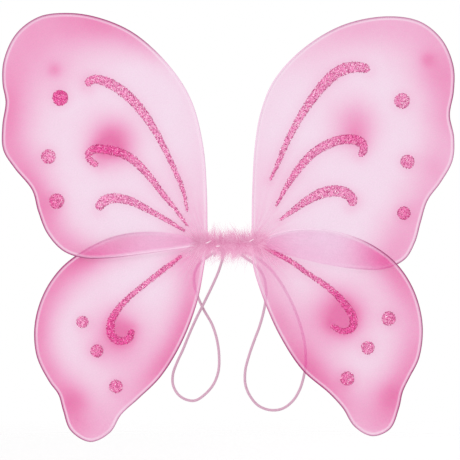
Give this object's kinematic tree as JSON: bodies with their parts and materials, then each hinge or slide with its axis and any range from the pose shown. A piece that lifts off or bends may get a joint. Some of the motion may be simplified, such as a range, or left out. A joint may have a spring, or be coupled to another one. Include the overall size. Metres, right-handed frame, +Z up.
{
  "type": "fairy wings",
  "caption": "Wearable fairy wings of tinted nylon on bent wire frames, with glitter swirls, a feather trim at the middle and elastic shoulder loops.",
  "frame": {"origin": "middle of the flat back of the taped bridge that joins the wings, where it rests on the wearer's back", "axes": "+Z up as worn, -Y out of the decorated front, +Y towards the wearer, +X to the right seen from the front"},
  "size_m": [0.4978, 0.036, 0.4711],
  "materials": {
    "steel": "pale pink coated steel wire",
    "nylon": "sheer airbrushed nylon",
    "glitter": "dried glitter glue",
    "thread": "wound thread",
    "tape": "cloth tape",
    "feather": "marabou down",
    "elastic": "braided round elastic"
  },
  "bodies": {
    "bridge": {"bridge_tape_wrap": "tape", "feather_trim": "feather", "feather_trim_cord": "thread", "left_elastic_loop": "elastic", "left_inner_loop_knot": "elastic", "left_outer_loop_knot": "elastic", "lower_left_twisted_stem": "steel", "lower_right_twisted_stem": "steel", "right_elastic_loop": "elastic", "right_inner_loop_knot": "elastic", "right_outer_loop_knot": "elastic", "upper_left_twisted_stem": "steel", "upper_right_twisted_stem": "steel"},
    "left_side": {"upper_left_glitter_dot_1": "glitter", "upper_left_glitter_dot_2": "glitter", "upper_left_glitter_dot_3": "glitter", "upper_left_glitter_swirl_1": "glitter", "upper_left_glitter_swirl_2": "glitter", "upper_left_glitter_swirl_3": "glitter", "upper_left_nylon_sleeve": "nylon", "upper_left_root_wrap": "thread", "upper_left_wire_frame": "steel"},
    "right_side": {"upper_right_glitter_dot_1": "glitter", "upper_right_glitter_dot_2": "glitter", "upper_right_glitter_dot_3": "glitter", "upper_right_glitter_swirl_1": "glitter", "upper_right_glitter_swirl_2": "glitter", "upper_right_glitter_swirl_3": "glitter", "upper_right_nylon_sleeve": "nylon", "upper_right_root_wrap": "thread", "upper_right_wire_frame": "steel"},
    "left_lower_wing": {"lower_left_glitter_dot_1": "glitter", "lower_left_glitter_dot_2": "glitter", "lower_left_glitter_dot_3": "glitter", "lower_left_glitter_swirl_1": "glitter", "lower_left_nylon_sleeve": "nylon", "lower_left_root_wrap": "thread", "lower_left_wire_frame": "steel"},
    "right_lower_wing": {"lower_right_glitter_dot_1": "glitter", "lower_right_glitter_dot_2": "glitter", "lower_right_glitter_dot_3": "glitter", "lower_right_glitter_swirl_1": "glitter", "lower_right_nylon_sleeve": "nylon", "lower_right_root_wrap": "thread", "lower_right_wire_frame": "steel"}
  },
  "joints": [
    {"name": "left_fold", "type": "hinge", "parent": "bridge", "child": "left_side", "pos_m": [-0.025, -0.006, 0], "axis": [0, 0, 1], "range_deg": [-10, 90]},
    {"name": "right_fold", "type": "hinge", "parent": "bridge", "child": "right_side", "pos_m": [0.025, -0.006, 0], "axis": [0, 0, -1], "range_deg": [-10, 90]},
    {"name": "left_lower_fan", "type": "hinge", "parent": "left_side", "child": "left_lower_wing", "pos_m": [-0.025, -0.0039, 0], "axis": [0, 1, 0], "range_deg": [-12, 35]},
    {"name": "right_lower_fan", "type": "hinge", "parent": "right_side", "child": "right_lower_wing", "pos_m": [0.025, -0.0081, 0], "axis": [0, -1, 0], "range_deg": [-12, 35]}
  ]
}
